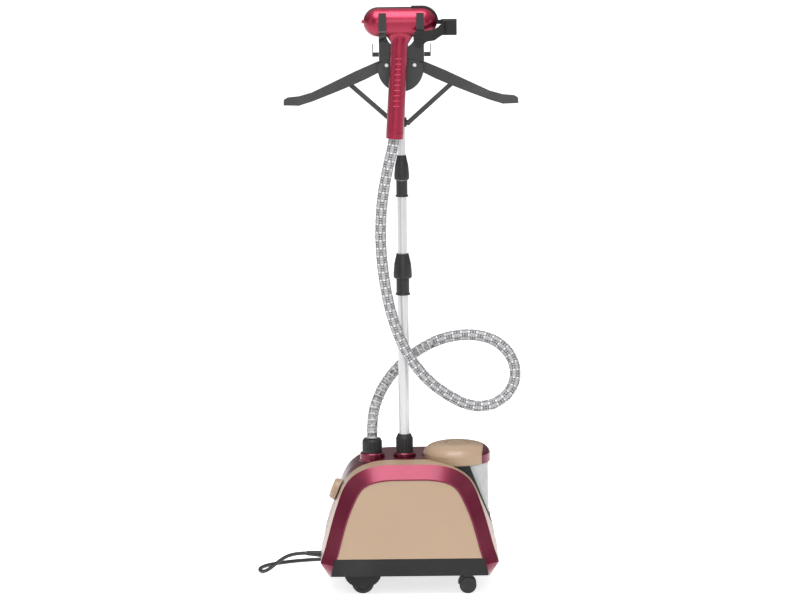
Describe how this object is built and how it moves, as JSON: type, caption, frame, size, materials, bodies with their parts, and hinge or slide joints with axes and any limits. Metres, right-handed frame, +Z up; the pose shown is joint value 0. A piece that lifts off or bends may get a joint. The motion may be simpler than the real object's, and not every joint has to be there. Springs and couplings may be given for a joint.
{
  "type": "garment steamer",
  "caption": "Upright garment steamer: wheeled boiler base with lift-out water tank, telescopic pole, folding hanger, hand-held steam head and hose.",
  "frame": {"origin": "on the floor, under the pole's axis", "axes": "+Z up along the pole, -Y towards the front panel, +X towards the water tank"},
  "size_m": [0.5382, 0.405, 1.1744],
  "materials": {
    "maroon_gloss": "pearl lacquer over moulded plastic",
    "beige_plastic": "satin moulded plastic",
    "dark_grey": "fine spark texture",
    "black_plastic": "fine spark texture",
    "clear_tank": "clear smoked plastic",
    "aluminium_tube": "satin anodised",
    "steel": "plated",
    "boiler_metal": "cast",
    "hose_fabric": "silver woven sleeve",
    "tyre": "matt rubber",
    "lead_rubber": "matt rubber",
    "circuit": "board lacquer"
  },
  "bodies": {
    "base": {"front_shell": "beige_plastic", "rear_shell": "maroon_gloss", "front_frame": "maroon_gloss", "rear_frame": "maroon_gloss", "front_panel": "beige_plastic", "rear_panel": "beige_plastic", "base_tray": "dark_grey", "tank_cradle": "dark_grey", "boiler": "boiler_metal", "boiler_feet": "steel", "steam_pipe": "steel", "water_pump": "black_plastic", "control_board": "circuit", "dial_switch": "black_plastic", "pole_socket": "maroon_gloss", "hose_socket": "maroon_gloss", "pole_lower": "aluminium_tube", "lower_sleeve": "black_plastic", "wheel_axles": "steel", "strain_relief": "lead_rubber", "mains_lead": "lead_rubber", "lead_coil": "lead_rubber", "mains_plug": "lead_rubber", "steam_hose": "hose_fabric"},
    "tank": {"water_tank": "clear_tank", "lid_strip": "maroon_gloss"},
    "valve": {"tank_valve": "black_plastic"},
    "lid": {"tank_lid": "beige_plastic"},
    "lid_push": {"lid_button": "beige_plastic"},
    "dial": {"steam_dial": "beige_plastic"},
    "pole_clamp": {"pole_nut": "black_plastic"},
    "hose_clamp": {"hose_nut": "black_plastic"},
    "middle_stage": {"pole_middle": "aluminium_tube", "upper_sleeve": "black_plastic"},
    "lower_lock": {"lower_grip": "black_plastic"},
    "upper_lock": {"upper_grip": "black_plastic"},
    "upper_stage": {"pole_upper": "aluminium_tube", "hanger_hub": "dark_grey", "hub_rivets": "steel", "handset_fork": "black_plastic", "side_hooks": "black_plastic", "strut_ring": "black_plastic", "handset_front": "maroon_gloss", "handset_rear": "dark_grey", "steam_plate": "dark_grey", "grip_ribs": "maroon_gloss", "hose_cuff": "maroon_gloss", "clip_body": "dark_grey"},
    "clip_arm": {"clip_lever": "dark_grey"},
    "steam_button": {"end_button": "maroon_gloss"},
    "left_arm": {"arm_left": "dark_grey"},
    "right_arm": {"arm_right": "dark_grey"},
    "left_strut": {"strut_left": "dark_grey"},
    "right_strut": {"strut_right": "dark_grey"},
    "front_roller": {"front_wheel": "tyre"},
    "rear_roller": {"rear_wheel": "tyre"},
    "front_caster": {"front_caster_hood": "black_plastic"},
    "rear_caster": {"rear_caster_hood": "black_plastic"},
    "front_caster_pair": {"front_caster_wheels": "tyre"},
    "rear_caster_pair": {"rear_caster_wheels": "tyre"}
  },
  "joints": [
    {"name": "pole_slide", "type": "slide", "parent": "base", "child": "upper_stage", "axis": [0, 0, 1], "range_m": [-0.05, 0.24], "deforming": ["steam_hose"]},
    {"name": "middle_slide", "type": "slide", "parent": "base", "child": "middle_stage", "axis": [0, 0, 1], "range_m": [-0.025, 0.12]},
    {"name": "lower_lock_twist", "type": "hinge", "parent": "base", "child": "lower_lock", "pos_m": [0, 0, 0.65], "axis": [0, 0, 1], "range_deg": [0, 90]},
    {"name": "upper_lock_twist", "type": "hinge", "parent": "middle_stage", "child": "upper_lock", "pos_m": [0, 0, 0.85], "axis": [0, 0, 1], "range_deg": [0, 90]},
    {"name": "right_arm_fold", "type": "hinge", "parent": "upper_stage", "child": "right_arm", "pos_m": [0.0277, -0.016, 1.055], "axis": [0, 1, 0], "range_deg": [0, 60]},
    {"name": "left_arm_fold", "type": "hinge", "parent": "upper_stage", "child": "left_arm", "pos_m": [-0.0277, -0.016, 1.055], "axis": [0, -1, 0], "range_deg": [0, 60]},
    {"name": "right_strut_fold", "type": "hinge", "parent": "right_arm", "child": "right_strut", "pos_m": [0.103, -0.016, 1.018], "axis": [0, -1, 0], "range_deg": [0, 105]},
    {"name": "left_strut_fold", "type": "hinge", "parent": "left_arm", "child": "left_strut", "pos_m": [-0.103, -0.016, 1.018], "axis": [0, 1, 0], "range_deg": [0, 105]},
    {"name": "clip_open", "type": "hinge", "parent": "upper_stage", "child": "clip_arm", "pos_m": [0.094, -0.067, 1.131], "axis": [0, 0, 1], "range_deg": [0, 25], "stiffness_Nm_per_rad": 0.3, "springref_deg": -17.19},
    {"name": "steam_button_press", "type": "slide", "parent": "upper_stage", "child": "steam_button", "axis": [1, 0, 0], "range_m": [0, 0.002], "stiffness_N_per_m": 300, "springref_m": -0.002},
    {"name": "tank_lift", "type": "slide", "parent": "base", "child": "tank", "axis": [0, 0, 1], "range_m": [0, 0.04]},
    {"name": "valve_lift", "type": "slide", "parent": "tank", "child": "valve", "axis": [0, 0, 1], "range_m": [0, 0.002], "stiffness_N_per_m": 200, "springref_m": -0.002},
    {"name": "lid_lift", "type": "slide", "parent": "tank", "child": "lid", "axis": [0, 0, 1], "range_m": [0, 0.02]},
    {"name": "lid_button_press", "type": "slide", "parent": "lid", "child": "lid_push", "axis": [0, 0, -1], "range_m": [0, 0.0025], "stiffness_N_per_m": 400, "springref_m": -0.002},
    {"name": "dial_turn", "type": "hinge", "parent": "base", "child": "dial", "pos_m": [-0.1345, 0, 0.1944], "axis": [-0.927, 0, 0.375], "range_deg": [-135, 135]},
    {"name": "pole_nut_turn", "type": "hinge", "parent": "base", "child": "pole_clamp", "pos_m": [0, 0, 0.29], "axis": [0, 0, 1], "range_deg": [0, 180]},
    {"name": "hose_nut_turn", "type": "hinge", "parent": "base", "child": "hose_clamp", "pos_m": [-0.065, 0, 0.285], "axis": [0, 0, 1], "range_deg": [0, 180]},
    {"name": "front_wheel_spin", "type": "hinge", "parent": "base", "child": "front_roller", "pos_m": [-0.086, -0.08, 0.022], "axis": [0, 1, 0], "continuous": true},
    {"name": "rear_wheel_spin", "type": "hinge", "parent": "base", "child": "rear_roller", "pos_m": [-0.086, 0.08, 0.022], "axis": [0, 1, 0], "continuous": true},
    {"name": "front_caster_swivel", "type": "hinge", "parent": "base", "child": "front_caster", "pos_m": [0.124, -0.084, 0.045], "axis": [0, 0, 1], "continuous": true},
    {"name": "rear_caster_swivel", "type": "hinge", "parent": "base", "child": "rear_caster", "pos_m": [0.124, 0.084, 0.045], "axis": [0, 0, 1], "continuous": true},
    {"name": "front_caster_spin", "type": "hinge", "parent": "front_caster", "child": "front_caster_pair", "pos_m": [0.124, -0.084, 0.017], "axis": [0, 1, 0], "continuous": true},
    {"name": "rear_caster_spin", "type": "hinge", "parent": "rear_caster", "child": "rear_caster_pair", "pos_m": [0.124, 0.084, 0.017], "axis": [0, 1, 0], "continuous": true}
  ],
  "couplings": [
    {"joint": "middle_slide", "follows": "pole_slide", "ratio": 0.5},
    {"joint": "right_strut_fold", "follows": "right_arm_fold", "ratio": 1.75},
    {"joint": "left_strut_fold", "follows": "left_arm_fold", "ratio": 1.75}
  ]
}
